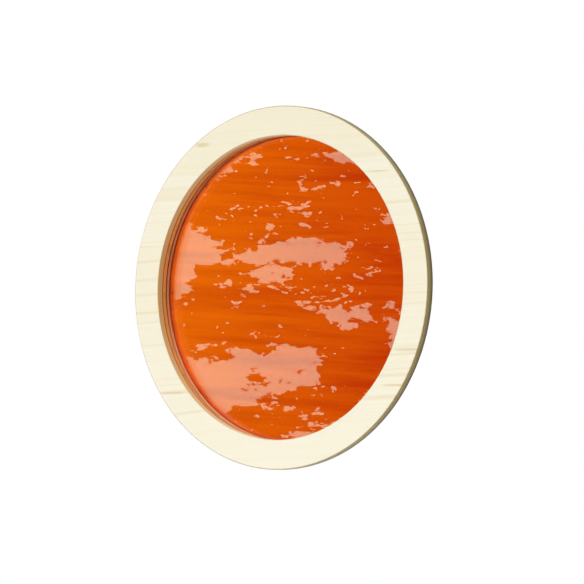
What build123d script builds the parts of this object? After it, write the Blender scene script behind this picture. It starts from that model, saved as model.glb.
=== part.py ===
from build123d import *
from math import cos, radians, sin, tan
import os

# Round fixed window: a turned timber hoop that passes through the wall, a flat face ring that
# covers the cut-out outdoors, and a sealed double-glazed unit with an orange inner pane, held
# by a removable bead. All of it lies on one horizontal axis.
# Millimetres. +Z is up and -Y is outdoors. The origin is on the axis of the window, in the
# plane of the wall's outside face.

# Face ring, which laps over the wall around the hoop
sight_d = 502.0
ring_overlap = 30.0
ring_thickness = 12.0
ring_edge_radius = 1.6

# Hoop, as deep as the wall that the window is made for
wall_thickness = 36.0
hoop_wall = 8.0
stop_thickness = 7.0
stop_edge_radius = 0.8

# Soft seals behind the face ring, set back a little so that they read as a dark line. The
# cut-out in the wall clears the hoop all round, and the two seals part there.
seal_thickness = 3.0
seal_set_back = 0.6
cut_out_clearance = 1.5

# Sealed glazing unit
glass_cover = 9.0
pane_thickness = 4.0
pane_gap = 6.0
spacer_height = 5.5
sealant_height = 2.5

# Tapes and blocks that bed the unit in the rebate
tape_thickness = 1.5
tape_set_back = 1.0
edge_gap = 2.0
block_clearance = 0.1
block_arc = 9.0
block_from_vertical = 36.0

# Glazing bead
bead_clearance = 0.2
bead_round_radius = 5.0

# Screws from the rebate through the stop into the back of the face ring
ring_screw_count = 12
ring_screw_d = 3.5
ring_screw_head_d = 6.8
ring_screw_length = 18.0

# Screws from the sight opening through the bead into the hoop
bead_screw_count = 8
bead_screw_d = 3.0
bead_screw_head_d = 5.6
bead_screw_length = 16.0
bead_screw_from_tape = 3.6

# Holes through the hoop, under the bead, for the screws into the wall
wall_hole_count = 8
wall_hole_d = 5.0

# Shape and fit that all screws share
countersink_angle = 90.0
screw_tip_ratio = 1.6
screw_tip_flat_d = 0.6
shank_clearance = 0.1
tip_clearance = 0.3

# Radii that several pieces share
sight_r = sight_d / 2
glass_r = sight_r + glass_cover
rebate_r = glass_r + edge_gap
hoop_outer_r = rebate_r + hoop_wall
ring_outer_r = hoop_outer_r + ring_overlap
spacer_outer_r = glass_r - sealant_height
spacer_inner_r = spacer_outer_r - spacer_height
ring_screw_circle_r = (sight_r + rebate_r) / 2
ring_screw_hole_r = ring_screw_d / 2 + shank_clearance
bead_screw_hole_r = bead_screw_d / 2 + shank_clearance

# Depths along +Y, counted from the wall's outside face
face_ring_back = -seal_thickness
outer_pane_front = stop_thickness + tape_thickness
gap_front = outer_pane_front + pane_thickness
inner_pane_front = gap_front + pane_gap
unit_back = inner_pane_front + pane_thickness
bead_front = unit_back + tape_thickness
bead_screw_depth = bead_front + bead_screw_from_tape
wall_hole_depth = (bead_front + wall_thickness) / 2
screw_in_face_ring = ring_screw_length - (stop_thickness - face_ring_back)


def across(depth):
    """Plane across the window's axis at this depth, facing indoors."""
    return Plane(origin=(0, depth, 0), x_dir=(1, 0, 0), z_dir=(0, 1, 0))


def on_sight_opening(angle, depth):
    """Plane on the edge of the sight opening at this depth, facing the window's axis."""
    outward = Vector(cos(radians(angle)), 0, sin(radians(angle)))
    centre = outward * sight_r + Vector(0, depth, 0)
    return Plane(origin=centre, x_dir=(0, 1, 0), z_dir=-outward)


def along_radius(angle):
    """Plane through the window's axis whose x runs out along a radius and y indoors."""
    return Plane.XY.rotated((0, -angle, 0))


# Bead screws start on the horizontal, and the wall holes lie midway between them
bead_screw_planes = [
    on_sight_opening(360.0 / bead_screw_count * turn, bead_screw_depth)
    for turn in range(bead_screw_count)
]
wall_hole_planes = [
    on_sight_opening(360.0 / wall_hole_count * (turn + 0.5), wall_hole_depth)
    for turn in range(wall_hole_count)
]

os.makedirs("parts", exist_ok=True)


# Face ring: cut from one flat pine panel, front edges eased. Its screw holes are blind,
# so the side seen from outdoors is unbroken.
with BuildPart() as face_ring:
    with BuildSketch(across(face_ring_back)):
        Circle(ring_outer_r)
        Circle(sight_r, mode=Mode.SUBTRACT)
    extrude(amount=-ring_thickness)
    front_edges = face_ring.edges().filter_by(GeomType.CIRCLE).group_by(Axis.Y)[0]
    fillet(front_edges, radius=ring_edge_radius)
    with Locations(across(face_ring_back)):
        with PolarLocations(ring_screw_circle_r, ring_screw_count):
            Hole(ring_screw_hole_r, depth=screw_in_face_ring + tip_clearance)
face_ring.part.label = "face_ring"
export_step(face_ring.part, "parts/face_ring.step")


# Wall seal: pressed between the face ring and the wall around the cut-out.
with BuildPart() as wall_seal:
    with BuildSketch(across(face_ring_back)):
        Circle(ring_outer_r - seal_set_back)
        Circle(hoop_outer_r + cut_out_clearance, mode=Mode.SUBTRACT)
    extrude(amount=seal_thickness)
wall_seal.part.label = "wall_seal"
export_step(wall_seal.part, "parts/wall_seal.step")


# Joint seal: between the face ring and the hoop, pierced by the ring screws.
with BuildPart() as joint_seal:
    with BuildSketch(across(face_ring_back)):
        Circle(hoop_outer_r - cut_out_clearance)
        Circle(sight_r + seal_set_back, mode=Mode.SUBTRACT)
        with PolarLocations(ring_screw_circle_r, ring_screw_count):
            Circle(ring_screw_hole_r, mode=Mode.SUBTRACT)
    extrude(amount=seal_thickness)
joint_seal.part.label = "joint_seal"
export_step(joint_seal.part, "parts/joint_seal.step")


# Hoop: the lining through the wall, turned with a stop in front of the glass and a rebate
# open to indoors. The stop is countersunk for the ring screws, and the thin wall behind it
# is drilled for the bead screws and the screws into the wall.
with BuildPart() as hoop:
    with BuildSketch(Plane.XY) as hoop_profile:
        with BuildLine():
            Polyline(
                (sight_r, 0),
                (hoop_outer_r, 0),
                (hoop_outer_r, wall_thickness),
                (rebate_r, wall_thickness),
                (rebate_r, stop_thickness),
                (sight_r, stop_thickness),
                close=True,
            )
        make_face()
        sight_corners = hoop_profile.vertices().group_by(Axis.X)[0]
        fillet(sight_corners.sort_by(Axis.Y)[0], radius=stop_edge_radius)
    revolve(axis=Axis.Y)
    with Locations(across(stop_thickness)):
        with PolarLocations(ring_screw_circle_r, ring_screw_count):
            CounterSinkHole(
                ring_screw_hole_r,
                ring_screw_head_d / 2 + shank_clearance,
                depth=stop_thickness,
                counter_sink_angle=countersink_angle,
            )
    with Locations(*bead_screw_planes):
        Hole(bead_screw_hole_r, depth=bead_screw_length + tip_clearance)
    with Locations(*wall_hole_planes):
        Hole(wall_hole_d / 2, depth=ring_outer_r - sight_r)
hoop.part.label = "hoop"
export_step(hoop.part, "parts/hoop.step")


# Glazing tapes: the unit is bedded on one against the stop, and the bead presses on the other.
with BuildPart() as front_tape:
    with BuildSketch(across(stop_thickness)):
        Circle(glass_r)
        Circle(sight_r + tape_set_back, mode=Mode.SUBTRACT)
    extrude(amount=tape_thickness)
front_tape.part.label = "front_tape"
export_step(front_tape.part, "parts/front_tape.step")

with BuildPart() as rear_tape:
    with BuildSketch(across(unit_back)):
        Circle(glass_r)
        Circle(sight_r + tape_set_back, mode=Mode.SUBTRACT)
    extrude(amount=tape_thickness)
rear_tape.part.label = "rear_tape"
export_step(rear_tape.part, "parts/rear_tape.step")


# Sealed unit: clear outer pane, spacer bar with sealant around it, orange inner pane.
with BuildPart() as outer_pane:
    with BuildSketch(across(outer_pane_front)):
        Circle(glass_r)
    extrude(amount=pane_thickness)
outer_pane.part.label = "outer_pane"
export_step(outer_pane.part, "parts/outer_pane.step")

with BuildPart() as spacer_bar:
    with BuildSketch(across(gap_front)):
        Circle(spacer_outer_r)
        Circle(spacer_inner_r, mode=Mode.SUBTRACT)
    extrude(amount=pane_gap)
spacer_bar.part.label = "spacer_bar"
export_step(spacer_bar.part, "parts/spacer_bar.step")

with BuildPart() as edge_sealant:
    with BuildSketch(across(gap_front)):
        Circle(glass_r)
        Circle(spacer_outer_r, mode=Mode.SUBTRACT)
    extrude(amount=pane_gap)
edge_sealant.part.label = "edge_sealant"
export_step(edge_sealant.part, "parts/edge_sealant.step")

with BuildPart() as inner_pane:
    with BuildSketch(across(inner_pane_front)):
        Circle(glass_r)
    extrude(amount=pane_thickness)
inner_pane.part.label = "inner_pane"
export_step(inner_pane.part, "parts/inner_pane.step")


# Setting blocks: curved packers that carry the unit and centre it in the rebate, two below
# and two above, each as deep as the unit.
block_angles = [
    vertical + side * block_from_vertical for vertical in (90, 270) for side in (-1, 1)
]
with BuildPart() as setting_blocks:
    with BuildSketch(*[along_radius(angle - block_arc / 2) for angle in block_angles]):
        with Locations((glass_r + block_clearance, outer_pane_front)):
            Rectangle(
                edge_gap - 2 * block_clearance,
                unit_back - outer_pane_front,
                align=(Align.MIN, Align.MIN),
            )
    revolve(axis=Axis.Y, revolution_arc=-block_arc)
setting_blocks.part.label = "setting_blocks"
export_step(setting_blocks.part, "parts/setting_blocks.step")


# Glazing bead: ring that holds the unit in and can be taken out, rounded towards indoors.
with BuildPart() as glazing_bead:
    with BuildSketch(Plane.XY) as bead_profile:
        with Locations((sight_r, bead_front)):
            Rectangle(
                rebate_r - bead_clearance - sight_r,
                wall_thickness - bead_front,
                align=(Align.MIN, Align.MIN),
            )
        indoor_corners = bead_profile.vertices().group_by(Axis.Y)[-1]
        fillet(indoor_corners.sort_by(Axis.X)[0], radius=bead_round_radius)
    revolve(axis=Axis.Y)
    with Locations(*bead_screw_planes):
        CounterSinkHole(
            bead_screw_hole_r,
            bead_screw_head_d / 2 + shank_clearance,
            depth=bead_screw_length,
            counter_sink_angle=countersink_angle,
        )
glazing_bead.part.label = "glazing_bead"
export_step(glazing_bead.part, "parts/glazing_bead.step")


def screw_half_outline(shank_d, head_d, length):
    """Corners of half a countersunk screw: axis on x 0, head at y 0, tip at y -length."""
    head_depth = (head_d - shank_d) / 2 / tan(radians(countersink_angle / 2))
    return (
        (0, 0),
        (head_d / 2, 0),
        (shank_d / 2, -head_depth),
        (shank_d / 2, shank_d * screw_tip_ratio - length),
        (screw_tip_flat_d / 2, -length),
        (0, -length),
    )


# Ring screws: driven from the rebate before the glass goes in, so that none shows outdoors.
with BuildPart() as ring_screw:
    with BuildSketch(Plane.XZ):
        with BuildLine():
            corners = screw_half_outline(ring_screw_d, ring_screw_head_d, ring_screw_length)
            Polyline(*corners, close=True)
        make_face()
    revolve(axis=Axis.Z)

with BuildPart() as ring_screws:
    with Locations(across(stop_thickness)):
        with PolarLocations(ring_screw_circle_r, ring_screw_count):
            add(ring_screw.part)
ring_screws.part.label = "ring_screws"
export_step(ring_screws.part, "parts/ring_screws.step")


# Bead screws: driven outward through the bead into the thin wall of the hoop.
with BuildPart() as bead_screw:
    with BuildSketch(Plane.XZ):
        with BuildLine():
            corners = screw_half_outline(bead_screw_d, bead_screw_head_d, bead_screw_length)
            Polyline(*corners, close=True)
        make_face()
    revolve(axis=Axis.Z)

with BuildPart() as bead_screws:
    with Locations(*bead_screw_planes):
        add(bead_screw.part)
bead_screws.part.label = "bead_screws"
export_step(bead_screws.part, "parts/bead_screws.step")
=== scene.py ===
# %% [markdown]
# # A round window in pine with orange double glazing
#
# The window is a flat ring of pale pine that covers a round cut-out in a wall, an amber stained
# hoop that lines the cut-out, and a sealed unit of two panes between soft tapes, held by a bead
# of light pine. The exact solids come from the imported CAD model. This lesson gives each of them
# its finish, makes the screws that need more than a plain solid, and sets up light and camera.
# Everything is in metres, -Y is outdoors, +Z is up, and the origin is in the plane of the
# wall's outside face.

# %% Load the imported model
from math import cos, pi, radians, sin

import bmesh
import bpy
from mathutils import Matrix, Vector


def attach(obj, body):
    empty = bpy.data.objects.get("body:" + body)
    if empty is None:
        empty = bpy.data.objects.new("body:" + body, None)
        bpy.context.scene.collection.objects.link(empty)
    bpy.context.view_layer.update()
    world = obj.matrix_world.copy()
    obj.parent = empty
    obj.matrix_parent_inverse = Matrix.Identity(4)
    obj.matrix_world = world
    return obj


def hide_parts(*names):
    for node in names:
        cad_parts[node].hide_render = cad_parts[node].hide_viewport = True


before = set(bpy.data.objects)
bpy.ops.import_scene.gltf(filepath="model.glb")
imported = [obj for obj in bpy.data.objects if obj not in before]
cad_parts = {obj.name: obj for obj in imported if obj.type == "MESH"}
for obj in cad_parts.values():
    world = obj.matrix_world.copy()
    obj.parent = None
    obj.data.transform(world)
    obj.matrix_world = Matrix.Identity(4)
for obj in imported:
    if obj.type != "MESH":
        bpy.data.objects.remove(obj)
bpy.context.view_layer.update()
print("solids from the CAD model:", sorted(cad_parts))

# %% [markdown]
# ## Camera
#
# The photograph was taken from far away with a long lens, a little from the right and slightly
# from below, so the two rims of the ring look like clean ellipses of nearly the same tilt. A
# camera is described best by where it looks: a target, two angles, a distance and a lens.

# %% Place the camera
VIEW_AZIMUTH = 36.38
VIEW_ELEVATION = -2.93
VIEW_DISTANCE = 7.553
VIEW_TARGET = Vector((0.0178, 0.0, -0.0075))
LENS_MM = 282.8


def way_out(azimuth, elevation):
    """The direction from the window to a camera or a lamp, from two angles in degrees."""
    azimuth, elevation = radians(azimuth), radians(elevation)
    return Vector((
        sin(azimuth) * cos(elevation),
        -cos(azimuth) * cos(elevation),
        sin(elevation),
    ))


def new_object(name, data):
    """An object for a mesh, a lamp or a camera, linked to the scene."""
    made = bpy.data.objects.new(name, data)
    bpy.context.scene.collection.objects.link(made)
    return made


def aim(piece, back):
    """Turns a camera or a lamp so that it looks against the direction back."""
    piece.rotation_euler = (-back).to_track_quat("-Z", "Y").to_euler()


view_back = way_out(VIEW_AZIMUTH, VIEW_ELEVATION)
camera = new_object("camera", bpy.data.cameras.new("camera"))
camera.data.lens = LENS_MM
camera.location = VIEW_TARGET + view_back * VIEW_DISTANCE
aim(camera, view_back)
bpy.context.scene.camera = camera
print("camera at", [round(c, 3) for c in camera.location])

# %% [markdown]
# ## Shader maths
#
# A finish is a small network of nodes. Written node by node it is long and hard to read, so two
# helpers are made first. A `Wire` stands for one output of a node, and Python's + - * / on it
# add Math nodes. The reflected forms let a plain number stand on the left, as in `1 - mask`.


# %% Wires that do arithmetic
class Wire:
    """One output of a shader node. Arithmetic on it adds Math nodes."""

    def __init__(self, finish, socket):
        self.finish = finish
        self.socket = socket

    def other(self, name):
        """Another output of the same node."""
        return Wire(self.finish, self.socket.node.outputs[name])

    def maths(self, operation, *others):
        """A Math node that has no sign of its own in Python, such as SINE."""
        return self.finish.maths(operation, self, *others)

    def __add__(self, value):
        return self.finish.maths("ADD", self, value)

    def __radd__(self, value):
        return self.finish.maths("ADD", value, self)

    def __sub__(self, value):
        return self.finish.maths("SUBTRACT", self, value)

    def __rsub__(self, value):
        return self.finish.maths("SUBTRACT", value, self)

    def __mul__(self, value):
        return self.finish.maths("MULTIPLY", self, value)

    def __rmul__(self, value):
        return self.finish.maths("MULTIPLY", value, self)

    def __truediv__(self, value):
        return self.finish.maths("DIVIDE", self, value)

    def __rtruediv__(self, value):
        return self.finish.maths("DIVIDE", value, self)


# %% [markdown]
# A `Finish` owns one node tree, of a material or of the world. Its method `node` adds any node,
# and the other methods are short names for the few that most finishes need. A piece's own
# place comes from Object coordinates in metres, so a pattern keeps its scale on every piece
# and stays where it is when the view changes.


# %% Finishes that own a node tree
class Finish:
    """The node tree of a material or of the world."""

    def __init__(self, owner):
        owner.use_nodes = True
        self.owner = owner
        self.tree = owner.node_tree
        self.tree.nodes.clear()

    def node(self, kind, settings=None, sockets=None, out=0):
        """Adds one node and returns the wire of one of its outputs."""
        made = self.tree.nodes.new("ShaderNode" + kind)
        for name, value in (settings or {}).items():
            setattr(made, name, value)
        for name, value in (sockets or {}).items():
            if isinstance(value, Wire):
                self.tree.links.new(value.socket, made.inputs[name])
            else:
                made.inputs[name].default_value = value
        return Wire(self, made.outputs[out]) if len(made.outputs) else None

    def maths(self, operation, *values):
        return self.node("Math", {"operation": operation}, dict(enumerate(values)))

    def place(self, turn=(0.0, 0.0, 0.0)):
        """The x, y and z of a point on the piece, in metres, after a turn of the axes."""
        point = self.node("TexCoord", out="Object")
        turned = self.node("Mapping", {}, {"Vector": point, "Rotation": turn})
        x = self.node("SeparateXYZ", {}, {0: turned})
        return x, x.other("Y"), x.other("Z")

    def vector(self, x, y, z):
        return self.node("CombineXYZ", {}, {0: x, 1: y, 2: z})

    def noise(self, vector, scale=1.0, detail=2.0, roughness=0.5):
        """Soft random values, mostly between 0.25 and 0.75."""
        sockets = {"Vector": vector, "Scale": scale, "Detail": detail, "Roughness": roughness}
        return self.node("TexNoise", {}, sockets)

    def chance(self, number, out=0):
        """A random value or colour that is the same wherever the number is the same."""
        return self.node("TexWhiteNoise", {"noise_dimensions": "1D"}, {"W": number}, out)

    def fade(self, value, low, high):
        """0 at low, 1 at high, a smooth step between them and level past both."""
        settings = {"interpolation_type": "SMOOTHSTEP"}
        return self.node("MapRange", settings, {0: value, 1: low, 2: high, 3: 0.0, 4: 1.0})

    def mix(self, factor, first, second):
        """first where factor is 0, second where it is 1."""
        colours = [c if isinstance(c, Wire) else (*c, 1.0) for c in (first, second)]
        sockets = {0: factor, 6: colours[0], 7: colours[1]}
        return self.node("Mix", {"data_type": "RGBA"}, sockets, out=2)

    def bump(self, height, distance, strength):
        sockets = {"Height": height, "Distance": distance, "Strength": strength}
        return self.node("Bump", {}, sockets)

    def ends_in(self, shader, output="OutputMaterial"):
        """Puts the last node on the tree."""
        self.node(output, {}, {"Surface": shader})
        return self.owner

    def surface(self, **sockets):
        """Ends the tree in one Principled shader."""
        named = {name.replace("_", " "): value for name, value in sockets.items()}
        return self.ends_in(self.node("BsdfPrincipled", {}, named))


# %% [markdown]
# Colours are easiest to read off a screen, where they are stored as numbers from 0 to 255 on a
# curve. Shaders add and multiply light, so they need the straight numbers behind that curve.
# A CAD solid takes its finish in the material slot of its object, and its mesh stays as it is.


# %% Colours, new finishes and dressed solids
def srgb(red, green, blue):
    """A colour as read on a screen, 0 to 255, turned into the linear numbers that shaders use."""
    shares = (red / 255, green / 255, blue / 255)
    return tuple(c / 12.92 if c <= 0.04045 else ((c + 0.055) / 1.055) ** 2.4 for c in shares)


def new_finish(name):
    return Finish(bpy.data.materials.new(name))


def dress(node_name, material):
    """Gives a solid of the CAD model its finish, in the object's own slot."""
    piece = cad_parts[node_name]
    if not piece.material_slots:
        piece.data.materials.append(None)
    for place in piece.material_slots:
        place.link = "OBJECT"
        place.material = material
    print(node_name, "wears", material.name)


# %% [markdown]
# ## Pine
#
# A board shows its growth rings as long lines, because it is sawn along the trunk. A pattern
# painted on the face would not carry on round the edge, so the rings are made in space: every
# point gets its distance from the heart of the trunk, and a noise that changes quickly with that
# distance and slowly along the trunk draws the rings. On the face they become lines, and where
# the saw crosses the trunk they become the arcs of end grain, with nothing to line up by hand.
#
# A wide panel is glued from narrow boards. Each board gets a heart of its own from a random
# number that is the same all over it, so the lines break at the glue lines as real ones do.

# %% Growth rings in space
# Where the heart of a board's trunk lies: metres below the face, share of the board's width
# aside, and metres aside for each metre along
HEART_BELOW, HEART_BELOW_SPREAD = 0.03, 0.05
HEART_ASIDE_SPREAD = 0.7
HEART_SLANT = 0.05

# The trunk isn't straight: how far it wanders aside in metres, and how often in a metre
WANDER, WANDER_ALONG = 0.03, 2.2

# How often lines and fibres change in a metre along and across the grain
LINES_ALONG, LINES_ACROSS, LINES_DETAIL = 0.9, 230.0, 4.0
FIBRES_ALONG, FIBRES_ACROSS = 22.0, 700.0

# Metres between two fine rings, and how much the lines bend them
RIPPLE_PITCH, RIPPLE_BEND = 0.0031, 9.0

# How far apart two boards read the noises, so that no two are alike
WANDER_STEP, LINES_STEP = 3.7, 9.0


def grain(finish, along, depth, across, board_width, offset):
    """Rings, fine rings, fibres and one random number for each of the boards, all as wires."""
    board = (across / board_width + offset).maths("FLOOR")
    pick = finish.node("SeparateColor", {}, {0: finish.chance(board, "Color")})
    middle = (board + (0.5 - offset)) * board_width
    wander = finish.noise(finish.vector(along * WANDER_ALONG, board * WANDER_STEP, 0.0)) - 0.5
    drift = along * (pick.other("Blue") - 0.5) * HEART_SLANT
    aside = (pick - 0.5) * (board_width * HEART_ASIDE_SPREAD)
    side = across - middle + drift + wander * WANDER + aside
    below = depth - (pick.other("Green") * HEART_BELOW_SPREAD + HEART_BELOW)
    radius = (side * side + below * below).maths("SQRT")
    rings = finish.vector(along * LINES_ALONG + board * LINES_STEP, radius * LINES_ACROSS, 0.0)
    lines = finish.noise(rings, 1.0, LINES_DETAIL)
    turns = radius * (2 * pi / RIPPLE_PITCH) + lines * RIPPLE_BEND
    ripple = turns.maths("SINE") * 0.5 + 0.5
    threads = finish.vector(along * FIBRES_ALONG, depth * FIBRES_ACROSS, across * FIBRES_ACROSS)
    return lines, ripple, finish.noise(threads), pick


# %% [markdown]
# Planed and coated pine is smooth, but not like plastic: under a low light its fibres and fine
# rings still show as a slight relief. Bump is enough for it, because it is far too fine to
# change the outline of a piece.

# %% Relief of planed pine
RELIEF_DEPTH = 0.0002
RELIEF_STRENGTH = 0.35
FIBRE_RELIEF, RIPPLE_RELIEF = 0.6, 0.4


def planed(finish, fibre, ripple):
    height = fibre * FIBRE_RELIEF + ripple * RIPPLE_RELIEF
    return finish.bump(height, RELIEF_DEPTH, RELIEF_STRENGTH)


# %% [markdown]
# ## Face ring
#
# The ring is sealed with a clear matt coat, so it is nearly as pale as fresh pine, with faint
# tan lines and a few pitch streaks. A streak is a long oval with ragged ends: a point's
# distance from the oval's middle is measured in half lengths and half heights, and a noise
# added to it frays the outline. A list of places is enough for a handful of them.

# %% Pitch streaks
PITCH = srgb(216, 190, 132)
PITCH_SHARE = 0.55

# x, z, half length and half height of the pitch streaks, in metres
PITCH_STREAKS = [
    (-0.156, 0.243, 0.020, 0.005),
    (-0.215, -0.170, 0.050, 0.0026),
    (0.262, -0.108, 0.040, 0.003),
    (0.236, -0.165, 0.036, 0.003),
    (0.200, 0.183, 0.034, 0.0018),
]

# How often the ragged ends change in a metre, level and upright, and how much they fray
FRAY_LEVEL, FRAY_UPRIGHT, FRAY = 40.0, 160.0, 1.1
STREAK_OUTSIDE, STREAK_INSIDE = 1.6, 0.5


def pitch_streaks(finish, colour, x, y, z):
    """Lays the streaks over a colour."""
    ragged = finish.vector(x * FRAY_LEVEL, y * FRAY_LEVEL, z * FRAY_UPRIGHT)
    ragged = finish.noise(ragged) * FRAY
    for streak_x, streak_z, half_length, half_height in PITCH_STREAKS:
        right = (x - streak_x) / half_length
        above = (z - streak_z) / half_height
        far = right * right + above * above + ragged
        spot = finish.fade(far, STREAK_OUTSIDE, STREAK_INSIDE)
        colour = finish.mix(spot * PITCH_SHARE, colour, PITCH)
    return colour


# %% [markdown]
# The sawn outer edge takes up more of the coat than the face does, and it is painted with the
# shade that a wall round the ring would cast, so it is much darker, a little more so at the left
# and right, where it is end grain, and its painted shade deepens towards the wall. The edge of
# the sight opening is honey brown, and palest at the top and bottom. Both are found by a point's
# distance from the window's axis, so no part of the mesh has to be picked by hand.

# %% Edges of the face ring
# Outer edge: sawn end grain darkened further by painted shade, with more painted shade towards
# the wall
SAWN_EDGE_AND_SHADE = srgb(148, 116, 42)
PAINTED_WALL_SHADE = srgb(100, 76, 20)
REVEAL = srgb(206, 172, 104)
RING_OUTER, RING_INNER = 0.300, 0.251

# How far in from an edge its colour starts and is full, in metres
RIM_STARTS, RIM_FULL = 0.0022, 0.0004
REVEAL_STARTS, REVEAL_FULL = 0.0014, 0.0002

# The y between which the painted shade on the outer edge deepens, from the face towards the wall
EDGE_FRONT, EDGE_BACK = -0.012, -0.004

# How much of an edge's colour shows along the grain, and how much more across it
RIM_SHARE, RIM_ACROSS = 0.78, 0.16
REVEAL_SHARE, REVEAL_ACROSS = 0.45, 0.5


def sawn_edges_and_shade(finish, colour, x, y, z):
    """Lays the colours of the outer edge, partly painted shade, and of the sight opening's edge
    over a colour.
    """
    out = (x * x + z * z).maths("SQRT")
    crossed = (x / out).maths("ABSOLUTE")
    rim = finish.fade(out, RING_OUTER - RIM_STARTS, RING_OUTER - RIM_FULL)
    # Painted shade: the outer edge darkens from the face towards the wall
    sawn_and_shaded = finish.mix(finish.fade(y, EDGE_FRONT, EDGE_BACK), SAWN_EDGE_AND_SHADE, PAINTED_WALL_SHADE)
    colour = finish.mix(rim * (crossed * RIM_ACROSS + RIM_SHARE), colour, sawn_and_shaded)
    inside = finish.fade(out, RING_INNER + REVEAL_STARTS, RING_INNER + REVEAL_FULL)
    return finish.mix(inside * (crossed * REVEAL_ACROSS + REVEAL_SHARE), colour, REVEAL)


# %% [markdown]
# The grain of the face runs level, a degree or two off, as it does on a ring that is screwed
# on by hand. Its lines are kept weak: on a pale wood a grain that can be seen at a glance is
# already too strong.

# %% Pale pine of the face ring
PINE = srgb(249, 242, 221)
PINE_WARM = srgb(245, 235, 205)
PINE_LINE = srgb(228, 206, 156)
RING_BOARD, RING_BOARD_OFFSET = 0.118, 0.3
GRAIN_TILT = (0.0, radians(1.7), 0.0)

# How much a board's own tone and its fibres turn the pine warmer
FACE_BOARD_TONE, FACE_FIBRE_TONE = 0.6, 0.3

# Levels of the noise between which a line comes in, and how much of it shows
FACE_LINE_FROM, FACE_LINE_TO, FACE_LINE_SHARE = 0.56, 0.68, 0.36
FACE_RIPPLE_SHARE = 0.07


def face_pine():
    finish = new_finish("face_wood")
    x, y, z = finish.place(GRAIN_TILT)
    lines, ripple, fibre, pick = grain(finish, x, y, z, RING_BOARD, RING_BOARD_OFFSET)
    warm = pick * FACE_BOARD_TONE + fibre * FACE_FIBRE_TONE
    colour = finish.mix(warm, PINE, PINE_WARM)
    line = finish.fade(lines, FACE_LINE_FROM, FACE_LINE_TO)
    colour = finish.mix(line * FACE_LINE_SHARE, colour, PINE_LINE)
    colour = finish.mix(ripple * FACE_RIPPLE_SHARE, colour, PINE_LINE)
    x, y, z = finish.place()
    colour = pitch_streaks(finish, colour, x, y, z)
    return finish.surface(
        Base_Color=sawn_edges_and_shade(finish, colour, x, y, z),
        Roughness=fibre * 0.2 + 0.5,
        Normal=planed(finish, fibre, ripple),
        Coat_Weight=0.08,
        Coat_Roughness=0.35,
    )


dress("face_ring", face_pine())

# %% [markdown]
# ## Hoop and bead
#
# No board is wide enough for a hoop of this size, and a thin wall cut across the grain would
# snap. The real one is made of short blocks glued end to end in a circle and then turned, so
# the grain follows the circle in straight steps. The shader does the same: it finds which
# block a point is in from its angle, turns the point into that block's own axes and asks for
# the same growth rings as before. The hoop is stained amber and the bead is left light, and
# the bead's joints lie between the hoop's.

# %% Pine built up from blocks round the circle
HOOP_LIGHT, HOOP_DARK = srgb(236, 166, 74), srgb(194, 116, 40)
BEAD_LIGHT, BEAD_DARK = srgb(250, 228, 182), srgb(228, 192, 132)
GLUE_LINE = srgb(96, 58, 26)

BLOCKS = 8.0
HOOP_JOINTS, BEAD_JOINTS = 0.25, 0.75
BLOCK_CIRCLE = 0.26
BLOCK_BOARD, BLOCK_BOARD_OFFSET = 0.24, 0.5

# How far apart two blocks were cut from the trunk, along and across, in metres
BLOCK_STEP_ALONG, BLOCK_STEP_ACROSS = 0.37, 0.31
TONE_SEED = 0.7
BLOCK_TONE, BLOCK_FIBRE_TONE = 0.45, 0.3

BLOCK_LINE_FROM, BLOCK_LINE_TO, BLOCK_LINE_SHARE = 0.47, 0.68, 0.75
BLOCK_RIPPLE_SHARE = 0.16

# A block's joint, as a share of its length from its middle, and how much of it shows
JOINT_FROM, JOINT_TO, JOINT_SHARE = 0.4982, 0.4992, 0.55


def block_pine(name, offset, light, dark):
    finish = new_finish(name)
    x, y, z = finish.place()
    share = z.maths("ARCTAN2", x) / (2 * pi) + 0.5
    number = (share * BLOCKS + offset).maths("FLOOR")
    angle = (number + (0.5 - offset)) * (2 * pi / BLOCKS) - pi
    turned_x, turned_z = angle.maths("COSINE"), angle.maths("SINE")
    outward = x * turned_x + z * turned_z - BLOCK_CIRCLE
    along = z * turned_x - x * turned_z + number * BLOCK_STEP_ALONG
    across = y + number * BLOCK_STEP_ACROSS
    lines, ripple, fibre, pick = grain(
        finish, along, outward, across, BLOCK_BOARD, BLOCK_BOARD_OFFSET
    )
    tone = finish.chance(number + TONE_SEED)
    colour = finish.mix(tone * BLOCK_TONE + fibre * BLOCK_FIBRE_TONE, light, dark)
    line = finish.fade(lines, BLOCK_LINE_FROM, BLOCK_LINE_TO)
    colour = finish.mix(line * BLOCK_LINE_SHARE, colour, dark)
    colour = finish.mix(ripple * BLOCK_RIPPLE_SHARE, colour, dark)
    edge = (share * BLOCKS + offset).maths("FRACT") - 0.5
    joint = finish.fade(edge.maths("ABSOLUTE"), JOINT_FROM, JOINT_TO)
    return finish.surface(
        Base_Color=finish.mix(joint * JOINT_SHARE, colour, GLUE_LINE),
        Roughness=fibre * 0.18 + 0.38,
        Normal=planed(finish, fibre, ripple),
        Coat_Weight=0.2,
        Coat_Roughness=0.25,
    )


dress("hoop", block_pine("hoop_wood", HOOP_JOINTS, HOOP_LIGHT, HOOP_DARK))
dress("glazing_bead", block_pine("bead_wood", BEAD_JOINTS, BEAD_LIGHT, BEAD_DARK))

# %% [markdown]
# ## Seals and glazing tapes
#
# The seals behind the ring are closed-cell foam rubber, dark where it meets the wall and brown
# further in. The light tan tapes on both sides of the glass are a denser strip. Foam shows as
# small dents where cells were cut open. A Voronoi texture gives round cells, and its distance
# drives both the dents and a painted shade that darkens them towards their middle.

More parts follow.
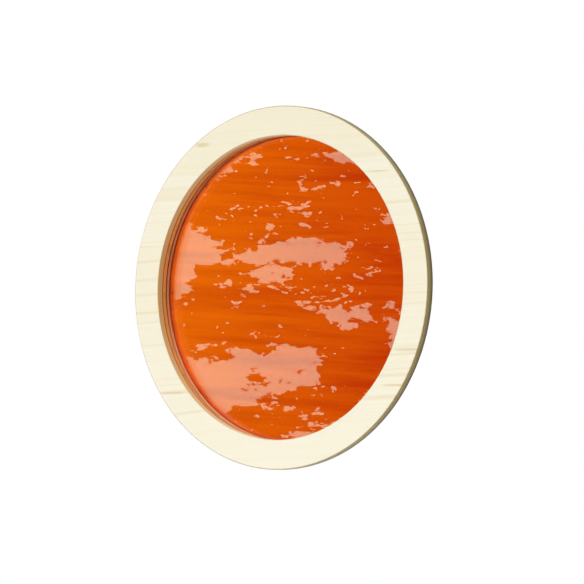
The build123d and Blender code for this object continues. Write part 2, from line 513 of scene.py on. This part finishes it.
# %% Foam rubber in three tones
WALL_SEAL_LIGHT, WALL_SEAL_DARK = srgb(84, 66, 44), srgb(52, 40, 26)
JOINT_SEAL_LIGHT, JOINT_SEAL_DARK = srgb(166, 104, 52), srgb(122, 74, 38)
TAPE_LIGHT, TAPE_DARK = srgb(238, 198, 142), srgb(212, 168, 114)
SEAL_CELL, TAPE_CELL = 0.0009, 0.0006
FOAM_CLOUDS_IN_A_METRE = 60.0
# The second share is the painted shade that darkens each dent towards its middle
CLOUD_TONE, CELL_SHADE = 0.7, 0.4

# Depth of a dent as a share of a cell's width, and how strongly it shows
DENT_DEPTH, DENT_STRENGTH = 0.3, 0.5


def foam(name, light, dark, cell):
    finish = new_finish(name)
    point = finish.node("TexCoord", out="Object")
    cells = finish.node("TexVoronoi", {}, {"Vector": point, "Scale": 1.0 / cell})
    cloud = finish.noise(point, FOAM_CLOUDS_IN_A_METRE, 3.0)
    return finish.surface(
        # Painted shade: each cell is darker towards its middle, where the dent is deepest
        Base_Color=finish.mix(cloud * CLOUD_TONE + cells * CELL_SHADE, dark, light),
        Roughness=cloud * 0.2 + 0.7,
        Normal=finish.bump(cells, cell * DENT_DEPTH, DENT_STRENGTH),
        Specular_IOR_Level=0.3,
    )


dress("wall_seal", foam("seal_rubber", WALL_SEAL_LIGHT, WALL_SEAL_DARK, SEAL_CELL))
dress("joint_seal", foam("inner_seal", JOINT_SEAL_LIGHT, JOINT_SEAL_DARK, SEAL_CELL))
tape = foam("tape_rubber", TAPE_LIGHT, TAPE_DARK, TAPE_CELL)
for node_name in ("front_tape", "rear_tape"):
    dress(node_name, tape)

# %% [markdown]
# ## Glass
#
# Both panes are real slabs, so each has two faces that mirror the surroundings, and the ring's
# edge is seen twice in them. The Principled shader with full transmission bends and tints the
# light. Lamps can't be seen through bent light, so rays that go to a lamp meet a plain tinted
# Transparent shader instead, and the light that falls through the pane stays orange. Drawn
# glass is never quite even: its tint varies in long soft streaks. The tint is also painted
# deeper towards +x, which is painted shade of uneven light behind the pane.

# %% Clear and orange panes
CLEAR_PALE, CLEAR_DEEP = (0.99, 1.0, 0.995), (0.96, 0.985, 0.975)
ORANGE_PALE, ORANGE_DEEP = (1.0, 0.175, 0.0), (0.60, 0.022, 0.0)
# Shares of each tint that are painted shade, deeper towards +x
CLEAR_SIDE_SHADE, ORANGE_SIDE_SHADE = 0.2, 0.66
GLASS_BENDS = 1.5

DRAWN_TILT = (0.0, radians(-4.0), 0.0)
DRAWN_ALONG, DRAWN_ACROSS, DRAWN_DETAIL, DRAWN_ROUGHNESS = 2.4, 46.0, 6.0, 0.62
TINT_CLOUDS_IN_A_METRE = 5.0
DRAWN_SHARE, TINT_CLOUD_SHARE = 0.8, 0.2
STREAK_FROM, STREAK_TO = 0.40, 0.68
# The x in metres across which the painted shade deepens
SIDE_SHADE_FROM, SIDE_SHADE_TO = -0.34, 0.34


def glass(name, pale, deep, side_shade):
    """side_shade is the share of the tint that is painted shade, deeper towards +x; the rest is
    streaks.
    """
    finish = new_finish(name)
    x, y, z = finish.place(DRAWN_TILT)
    sheet = finish.vector(x * DRAWN_ALONG, y, z * DRAWN_ACROSS)
    drawn = finish.noise(sheet, 1.0, DRAWN_DETAIL, DRAWN_ROUGHNESS)
    clouds = finish.vector(x * TINT_CLOUDS_IN_A_METRE, y, z * TINT_CLOUDS_IN_A_METRE)
    streaks = drawn * DRAWN_SHARE + finish.noise(clouds) * TINT_CLOUD_SHARE
    streaks = finish.fade(streaks, STREAK_FROM, STREAK_TO)
    # Painted shade: the tint deepens towards +x
    painted_side_shade = finish.fade(x, SIDE_SHADE_FROM, SIDE_SHADE_TO)
    tint = finish.mix(streaks * (1 - side_shade) + painted_side_shade * side_shade, pale, deep)
    sockets = {"Roughness": 0.0, "IOR": GLASS_BENDS, "Transmission Weight": 1.0}
    slab = finish.node("BsdfPrincipled", {}, {"Base Color": tint, **sockets})
    open_way = finish.node("BsdfTransparent", {}, {"Color": tint})
    to_lamp = finish.node("LightPath", out="Is Shadow Ray")
    return finish.ends_in(finish.node("MixShader", {}, {0: to_lamp, 1: slab, 2: open_way}))


dress("outer_pane", glass("clear_glass", CLEAR_PALE, CLEAR_DEEP, CLEAR_SIDE_SHADE))
dress("inner_pane", glass("orange_glass", ORANGE_PALE, ORANGE_DEEP, ORANGE_SIDE_SHADE))

# %% [markdown]
# ## Spacer, sealant and packers
#
# These hold the unit together and carry it, and they are seen only at a slant through the
# glass. The spacer is light tan and has two rows of fine holes that let the grains inside it
# dry the air between the panes. Holes this small are a bump and a painted shade, not shape. The
# sealant round it is nearly black and a little glossy, and the packers are dull moulded plastic.

# %% Plastics and sealant
SPACER_LIGHT, SPACER_DARK = srgb(248, 212, 164), srgb(228, 186, 136)
# Painted shade inside the spacer's fine holes
HOLE_SHADE = srgb(34, 20, 12)
SEALANT_LIGHT, SEALANT_DARK = srgb(40, 38, 37), srgb(20, 19, 19)
PACKER_LIGHT, PACKER_DARK = srgb(58, 58, 60), srgb(38, 38, 40)

# The spacer's inner radius, the y of its middle, and how far from it a row of holes lies
SPACER_RADIUS, SPACER_MIDDLE, SPACER_ROW = 0.252, 0.0155, 0.0013
SPACER_HOLES = 640
HOLE_EDGE, HOLE_FLOOR = 0.0006, 0.0003

# How often in a metre each of the three is speckled
SPACER_SPECKS, SEALANT_SPECKS, PACKER_SPECKS = 900.0, 150.0, 1400.0


def spacer_plastic():
    finish = new_finish("spacer_plastic")
    x, y, z = finish.place()
    step = (z.maths("ARCTAN2", x) * (SPACER_HOLES / (2 * pi))).maths("FRACT") - 0.5
    round_hole = step * (2 * pi * SPACER_RADIUS / SPACER_HOLES)
    from_row = (y - SPACER_MIDDLE).maths("ABSOLUTE") - SPACER_ROW
    apart = (round_hole * round_hole + from_row * from_row).maths("SQRT")
    # Where the holes are, the spacer gets a dent and a painted shade
    hole = finish.fade(apart, HOLE_EDGE, HOLE_FLOOR)
    speck = finish.noise(finish.vector(x, y, z), SPACER_SPECKS)
    colour = finish.mix(speck, SPACER_LIGHT, SPACER_DARK)
    return finish.surface(
        Base_Color=finish.mix(hole, colour, HOLE_SHADE),
        Roughness=speck * 0.15 + 0.42,
        Normal=finish.bump(speck * 0.2 - hole, RELIEF_DEPTH, 0.5),
    )


def moulded(name, light, dark, specks, rough, specular):
    finish = new_finish(name)
    point = finish.node("TexCoord", out="Object")
    speck = finish.noise(point, specks, 3.0)
    return finish.surface(
        Base_Color=finish.mix(speck, light, dark),
        Roughness=speck * 0.2 + rough,
        Normal=finish.bump(speck, RELIEF_DEPTH, 0.4),
        Specular_IOR_Level=specular,
    )


sealant = moulded(
    "sealant", SEALANT_LIGHT, SEALANT_DARK, SEALANT_SPECKS, rough=0.35, specular=0.4
)
packer = moulded(
    "block_plastic", PACKER_LIGHT, PACKER_DARK, PACKER_SPECKS, rough=0.45, specular=0.5
)
dress("spacer_bar", spacer_plastic())
dress("edge_sealant", sealant)
dress("setting_blocks", packer)

# %% [markdown]
# ## Screws
#
# The CAD model has plain countersunk shanks. A real screw has a cross recess in its head and a
# thread, and each part of it is made with the tool that suits it. Its body is round, so it is
# a profile that is spun round the screw's axis. Where the profile ends on the axis, the spin
# leaves points on top of each other, which are merged.

# %% Body spun from a profile
MM = 0.001
SPIN_STEPS = 24
AXIS = (0.0, 0.0, 1.0)
CENTRE = (0.0, 0.0, 0.0)


def verts_of(geometry):
    """The points in a mixed list of points, edges and faces."""
    return [v for v in geometry if isinstance(v, bmesh.types.BMVert)]


def spun(shape, profile):
    """Spins a line of (radius, height) points round the z axis."""
    points = [shape.verts.new((radius, 0.0, height)) for radius, height in profile]
    line = [shape.edges.new(pair) for pair in zip(points, points[1:])]
    bmesh.ops.spin(
        shape,
        geom=points + line,
        axis=AXIS,
        cent=CENTRE,
        angle=2 * pi,
        steps=SPIN_STEPS,
        use_merge=True,
    )
    bmesh.ops.remove_doubles(shape, verts=shape.verts, dist=0.002 * MM)


# %% [markdown]
# The recess starts as a flat cross in the plane of the head. The rim of the head is bridged to
# it, which closes the head, and then the cross is pushed down and drawn together, so that it
# narrows towards its bottom.

# %% Cross recess in the head
RECESS_TAPER = 0.45
RIM_SLACK = 0.01 * MM
HEIGHT_SLACK = 1e-7


def is_rim(edge, radius):
    """True for an edge of the open circle at the top of the head."""
    return all(
        abs(v.co.xy.length - radius) < RIM_SLACK and abs(v.co.z) < HEIGHT_SLACK
        for v in edge.verts
    )


def cross_recess(shape, rim_radius, arm, width, depth):
    """Closes the head with a face that holds a cross recess."""
    half = width / 2
    corners = [(arm, -half), (arm, half), (half, half)]
    outline = []
    for quarter in range(4):
        turn = Matrix.Rotation(quarter * pi / 2, 3, "Z")
        outline += [shape.verts.new(turn @ Vector((x, y, 0.0))) for x, y in corners]
    cross = shape.faces.new(outline)
    rim = [e for e in shape.edges if e.is_boundary and is_rim(e, rim_radius)]
    bmesh.ops.bridge_loops(shape, edges=rim + list(cross.edges))
    sunk = verts_of(bmesh.ops.extrude_face_region(shape, geom=[cross])["geom"])
    bmesh.ops.delete(shape, geom=[cross], context="FACES_ONLY")
    bmesh.ops.translate(shape, verts=sunk, vec=(0.0, 0.0, -depth))
    bmesh.ops.scale(shape, verts=sunk, vec=(RECESS_TAPER, RECESS_TAPER, 1.0))


# %% [markdown]
# The thread is a small triangle that is spun round the axis many times while it climbs. Its
# inner corners are sunk a little into the core, so no gap shows between the two.

# %% Thread that climbs the shank
THREAD_STEPS = 12
THREAD_SUNK = 0.05 * MM
RIDGE_SHARE = 0.3


def thread(shape, core, crest, start, end, pitch):
    """A ridge that climbs round the shank."""
    half = pitch * RIDGE_SHARE
    turns = (start - end) / pitch
    sunk = core - THREAD_SUNK
    points = [(sunk, start + half), (crest, start), (sunk, start - half)]
    corners = [shape.verts.new((radius, 0.0, height)) for radius, height in points]
    sides = [shape.edges.new((corners[i - 1], corners[i])) for i in range(3)]
    made = bmesh.ops.spin(
        shape,
        geom=corners + sides,
        axis=AXIS,
        cent=CENTRE,
        dvec=(0.0, 0.0, -pitch / THREAD_STEPS),
        angle=2 * pi * turns,
        steps=round(turns * THREAD_STEPS),
    )
    shape.faces.new(corners)
    shape.faces.new(verts_of(made["geom_last"]))


# %% [markdown]
# A screw's parts keep nearly the same proportions from one size to the next, so one function
# makes any of them from three sizes. The head is at z = 0 and the point is below. One screw is
# made, and copies of it go to their places, all in one mesh, because the CAD model keeps them
# together in one node too.

# %% One screw and its copies
HEAD_LAND = 0.15 * MM
POINT_RADIUS = 0.15 * MM

# Shares of the shank's radius
CORE_SHARE, POINT_SHARE, PITCH_TO_SHANK = 0.68, 1.6, 0.75

# Shares of the length, from the head: end of the plain shank, start of the core and the thread
PLAIN_ENDS, CORE_STARTS, THREAD_STARTS = 0.42, 0.45, 0.47

# Shares of the head's radius
RECESS_ARM, RECESS_WIDTH, RECESS_DEPTH = 0.62, 0.30, 0.55


def screw_mesh(name, shank_d, head_d, length, spots):
    """One screw, head up at z = 0, copied to every spot."""
    shape = bmesh.new()
    head, shank = head_d / 2, shank_d / 2
    core = shank * CORE_SHARE
    cone = head - shank
    tip = length - shank * POINT_SHARE
    spun(shape, [
        (head, 0.0),
        (head, -HEAD_LAND),
        (shank, -cone - HEAD_LAND),
        (shank, -length * PLAIN_ENDS),
        (core, -length * CORE_STARTS),
        (core, -tip),
        (POINT_RADIUS, -length),
        (0.0, -length),
    ])
    cross_recess(shape, head, head * RECESS_ARM, head * RECESS_WIDTH, head * RECESS_DEPTH)
    thread(shape, core, shank, -length * THREAD_STARTS, -tip, shank * PITCH_TO_SHANK)
    bmesh.ops.recalc_face_normals(shape, faces=shape.faces)
    one = list(shape.verts) + list(shape.edges) + list(shape.faces)
    for spot in spots[1:]:
        copy = bmesh.ops.duplicate(shape, geom=one)["geom"]
        bmesh.ops.transform(shape, matrix=spot, verts=verts_of(copy))
    bmesh.ops.transform(shape, matrix=spots[0], verts=verts_of(one))
    mesh = bpy.data.meshes.new(name)
    shape.to_mesh(mesh)
    shape.free()
    print(name, "has", len(mesh.polygons), "faces in", len(spots), "screws")
    return new_object(name, mesh)


# %% [markdown]
# Twelve screws go from the rebate out into the back of the face ring, and eight go through the
# bead into the hoop. Both sets stand in a circle, and each head has been left at a slightly
# different turn, as a hand leaves it.

# %% Where the screws go
RING_SCREWS, RING_SCREW_CIRCLE, RING_SCREW_DEPTH, RING_SCREW_TURN = 12, 0.2565, 0.007, 1.3
BEAD_SCREWS, BEAD_SCREW_CIRCLE, BEAD_SCREW_DEPTH, BEAD_SCREW_TURN = 8, 0.251, 0.0276, 0.9


def on_circle(radius, depth, angle):
    return Matrix.Translation((radius * cos(angle), depth, radius * sin(angle)))


def ring_screw_spot(number):
    """Head flush in the rebate's stop, pointing outdoors."""
    angle = number * 2 * pi / RING_SCREWS
    place = on_circle(RING_SCREW_CIRCLE, RING_SCREW_DEPTH, angle)
    outdoors = Matrix.Rotation(-pi / 2, 4, "X")
    return place @ outdoors @ Matrix.Rotation(number * RING_SCREW_TURN, 4, "Z")


def bead_screw_spot(number):
    """Head flush in the bead's inner face, pointing away from the axis."""
    angle = number * 2 * pi / BEAD_SCREWS
    place = on_circle(BEAD_SCREW_CIRCLE, BEAD_SCREW_DEPTH, angle)
    outwards = Matrix.Rotation(pi / 2 - angle, 4, "Y") @ Matrix.Rotation(pi, 4, "X")
    return place @ outwards @ Matrix.Rotation(number * BEAD_SCREW_TURN, 4, "Z")


ring_spots = [ring_screw_spot(number) for number in range(RING_SCREWS)]
bead_spots = [bead_screw_spot(number) for number in range(BEAD_SCREWS)]
print("first ring screw at", [round(c, 4) for c in ring_spots[0].translation])
print("first bead screw at", [round(c, 4) for c in bead_spots[0].translation])

# %% [markdown]
# Zinc has a faint cloudy bloom and brass is warmer, with dull turning marks. Both are metals,
# so their colour is the colour of their mirror image, and roughness does most of the work.

# %% Zinc and brass
ZINC_LIGHT, ZINC_DARK, ZINC_ROUGH = srgb(214, 214, 210), srgb(170, 172, 174), 0.22
BRASS_LIGHT, BRASS_DARK, BRASS_ROUGH = srgb(222, 186, 108), srgb(180, 140, 70), 0.2
BLOOM_IN_A_METRE, MARKS_IN_A_METRE = 900.0, 6000.0


def metal(name, light, dark, rough):
    finish = new_finish(name)
    point = finish.node("TexCoord", out="Object")
    bloom = finish.noise(point, BLOOM_IN_A_METRE, 3.0)
    marks = finish.noise(point, MARKS_IN_A_METRE)
    return finish.surface(
        Base_Color=finish.mix(bloom, light, dark),
        Metallic=1.0,
        Roughness=bloom * 0.2 + marks * 0.1 + rough,
    )


zinc = metal("screw_steel", ZINC_LIGHT, ZINC_DARK, ZINC_ROUGH)
brass = metal("screw_brass", BRASS_LIGHT, BRASS_DARK, BRASS_ROUGH)
ring_screws = screw_mesh(
    "ring_screws_zinc", shank_d=3.5 * MM, head_d=6.8 * MM, length=18.0 * MM, spots=ring_spots
)
bead_screws = screw_mesh(
    "bead_screws_brass", shank_d=3.0 * MM, head_d=5.6 * MM, length=16.0 * MM, spots=bead_spots
)
ring_screws.data.materials.append(zinc)
bead_screws.data.materials.append(brass)
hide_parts("ring_screws")
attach(ring_screws, "root")
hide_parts("bead_screws")
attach(bead_screws, "root")

# %% [markdown]
# ## Floor and backdrop
#
# The window hangs free in front of white. The floor is a wide pale disc that really receives
# light, so it keeps the window's soft shadow, and towards its edge it fades into white for the
# camera and through the glass. The camera is a little below the window's middle, so the floor
# lies lower still. Mirrored rays pass through the floor, because the glass would otherwise
# mirror its far edge as a hard level line.
#
# A Light Path node says where a ray comes from. A ray that was mirrored inside a pane leaves
# it as a transmission ray, so mirrored ones are told by their count of glossy bounces.

# %% Floor
FLOOR_HEIGHT = -0.62
FLOOR_RADIUS = 9.0
FLOOR_EDGES = 96
FLOOR_PAINT = (0.93, 0.93, 0.93, 1.0)
WHITE = (1.0, 1.0, 1.0)

# Metres from the middle between which the floor fades into white
FADE_STARTS, FADE_ENDS = 1.6, 4.2

# Bounces are whole numbers, so a step between these two tells none from one or more
NO_BOUNCE, ONE_BOUNCE = 0.4, 0.6


def reflected(finish, path):
    """1 for a ray that has been mirrored on its way, else 0."""
    return finish.fade(path.other("Glossy Depth"), NO_BOUNCE, ONE_BOUNCE)


def mirrored(finish, path):
    """1 for a reflected ray that no matt surface has scattered, else 0."""
    unscattered = finish.fade(path.other("Diffuse Depth"), ONE_BOUNCE, NO_BOUNCE)
    return reflected(finish, path) * unscattered


def floor_finish():
    finish = new_finish("pale_floor")
    x, y, z = finish.place()
    away = finish.fade((x * x + y * y).maths("SQRT"), FADE_STARTS, FADE_ENDS)
    paint = finish.node("BsdfDiffuse", {}, {"Color": FLOOR_PAINT})
    white = finish.node("Emission", {}, {"Color": (*WHITE, 1.0), "Strength": 1.0})
    unseen = finish.node("BsdfTransparent", {}, {"Color": (*WHITE, 1.0)})
    path = finish.node("LightPath", out="Is Camera Ray")
    seen = path.maths("MAXIMUM", path.other("Is Transmission Ray"))
    pale = finish.node("MixShader", {}, {0: away * seen, 1: paint, 2: white})
    passed = mirrored(finish, path)
    return finish.ends_in(finish.node("MixShader", {}, {0: passed, 1: pale, 2: unseen}))


disc = bmesh.new()
bmesh.ops.create_circle(disc, cap_ends=True, segments=FLOOR_EDGES, radius=FLOOR_RADIUS)
bmesh.ops.translate(disc, verts=disc.verts, vec=(0.0, 0.0, FLOOR_HEIGHT))
floor_mesh = bpy.data.meshes.new("floor")
disc.to_mesh(floor_mesh)
disc.free()
floor = new_object("floor", floor_mesh)
floor.data.materials.append(floor_finish())
print("floor", 2 * FLOOR_RADIUS, "m across, at", FLOOR_HEIGHT, "m")

# %% [markdown]
# ## Light
#
# In the mirror of the glass a plain white surround would lie over the whole pane like a veil,
# so mirrored rays meet a mottled one, pale in some places and dim in others. It is noise on
# their direction, ragged at its edges, with small flecks between the pale areas and a gentle
# swell that makes one side paler than the other. Nothing of it is painted on the pane, so it
# moves over the glass as a real surround does when one walks past.

# %% Mottled surround
# The mottling's place among all directions, its squeeze, and the scales of its noises
MOTTLE_SHIFT, MOTTLE_SQUEEZE = (1.03, -2.02, 2.16), (1.0, 1.0, 2.0)
COARSE_SCALE = 26.0
RAGGED_SCALE, RAGGED_DETAIL, RAGGED_ROUGHNESS = 210.0, 4.0, 0.62
FLECK_SCALE, FLECK_DETAIL, FLECK_ROUGHNESS = 460.0, 2.0, 0.6
FLECK_GROUP_SCALE = 95.0
COARSE_SHARE, RAGGED_SHARE = 0.7, 0.3
FLECK_SHARE, FLECK_GROUP_SHARE = 0.6, 0.4

# Waves of the swell round the window, where they start, and how much they weigh
SWELL_WAVES, SWELL_START, SWELL_SHARE = 24.0, 60.22, 0.07

# The noise level of each edge, and how soft the edge is to either side
PALE_LEVEL, PALE_SOFT = 0.532, 0.004
FLECK_LEVEL, FLECK_SOFT = 0.616, 0.008


def mottling(finish, point, x):
    """1 in the pale areas and flecks of the mirrored surround, else 0."""
    sockets = {"Vector": point, "Location": MOTTLE_SHIFT, "Scale": MOTTLE_SQUEEZE}
    shifted = finish.node("Mapping", {}, sockets)
    swell = (x.maths("ARCTAN2", x.other("Y")) * SWELL_WAVES + SWELL_START).maths("SINE")
    coarse = finish.noise(shifted, COARSE_SCALE)
    ragged = finish.noise(shifted, RAGGED_SCALE, RAGGED_DETAIL, RAGGED_ROUGHNESS)
    areas = coarse * COARSE_SHARE + ragged * RAGGED_SHARE + swell * SWELL_SHARE
    areas = finish.fade(areas, PALE_LEVEL - PALE_SOFT, PALE_LEVEL + PALE_SOFT)
    flecks = finish.noise(shifted, FLECK_SCALE, FLECK_DETAIL, FLECK_ROUGHNESS)
    groups = finish.noise(shifted, FLECK_GROUP_SCALE)
    flecks = flecks * FLECK_SHARE + groups * FLECK_GROUP_SHARE
    flecks = finish.fade(flecks, FLECK_LEVEL - FLECK_SOFT, FLECK_LEVEL + FLECK_SOFT)
    return areas.maths("MAXIMUM", flecks)


# %% [markdown]
# Much of the light on the window comes from the world, more from overhead than from below, so
# that level undersides and the back of the opening stay in soft shade. For the camera the
# world is plain white, also through the glass.

# %% World
OVERHEAD_LIGHT, LOW_LIGHT = (0.76, 0.76, 0.77), (0.34, 0.34, 0.35)
MIRRORED_PALE, MIRRORED_DIM = (0.95, 1.7, 1.4), (0.012, 0.012, 0.012)

# How far up or down a direction points where low light ends and overhead light is full
LOW_ENDS, OVERHEAD_FULL = -0.7, 0.9


def world_light():
    world = bpy.data.worlds.new("studio")
    bpy.context.scene.world = world
    finish = Finish(world)
    point = finish.node("TexCoord", out="Generated")
    x = finish.node("SeparateXYZ", {}, {0: point})
    path = finish.node("LightPath", out="Is Camera Ray")
    unreflected = 1 - reflected(finish, path)
    seen = path.maths("MAXIMUM", path.other("Is Transmission Ray") * unreflected)
    in_mirror = mirrored(finish, path)
    overhead = finish.fade(x.other("Z"), LOW_ENDS, OVERHEAD_FULL)
    ambient = finish.mix(overhead, LOW_LIGHT, OVERHEAD_LIGHT)
    ambient = finish.mix(in_mirror, ambient, MIRRORED_DIM)
    ambient = finish.mix(in_mirror * mottling(finish, point, x), ambient, MIRRORED_PALE)
    colour = finish.mix(seen, ambient, WHITE)
    light = finish.node("Background", {}, {"Color": colour, "Strength": 1.0})
    return finish.ends_in(light, "OutputWorld")


world = world_light()
print("world", world.name, "is made of", len(world.node_tree.nodes), "nodes")

# %% [markdown]
# The key lamp is a sun with a wide disc, high in front of the window. Its shadows are so soft
# that they only round off the ring's edges and leave its underside and the inside of the
# opening in shade, as daylight does.

# %% Key lamp
KEY_AZIMUTH, KEY_ELEVATION = -4.0, 60.0
KEY_STRENGTH = 1.34
KEY_SOFTNESS = radians(34.0)

key_way = way_out(KEY_AZIMUTH, KEY_ELEVATION)
key = new_object("key_lamp", bpy.data.lights.new("key_lamp", "SUN"))
key.data.angle = KEY_SOFTNESS
key.data.energy = KEY_STRENGTH
aim(key, key_way)
bpy.context.scene.view_settings.view_transform = "Standard"
print("key lamp of strength", KEY_STRENGTH, "from", [round(c, 3) for c in key_way])

# %% [markdown]
# A room behind the glass is never quite dark. A small round lamp indoors shines out through
# the pane and warms the inside of the opening with orange light. It is hidden from the camera
# and from glass and mirrors, so that it leaves no bright disc in the pane.

# %% Room lamp
ROOM_LAMP_PLACE = (0.0, 0.45, 0.0)
ROOM_LAMP_SIZE = 0.42
ROOM_LAMP_POWER = 1.8

room = new_object("room_lamp", bpy.data.lights.new("room_lamp", "AREA"))
room.data.shape = "DISK"
room.data.size = ROOM_LAMP_SIZE
room.data.energy = ROOM_LAMP_POWER
room.location = ROOM_LAMP_PLACE
room.rotation_euler = (-pi / 2, 0.0, 0.0)
room.visible_camera = False
room.visible_glossy = False
room.visible_transmission = False
print("room lamp of", ROOM_LAMP_POWER, "W,", ROOM_LAMP_SIZE, "m across, at", ROOM_LAMP_PLACE)
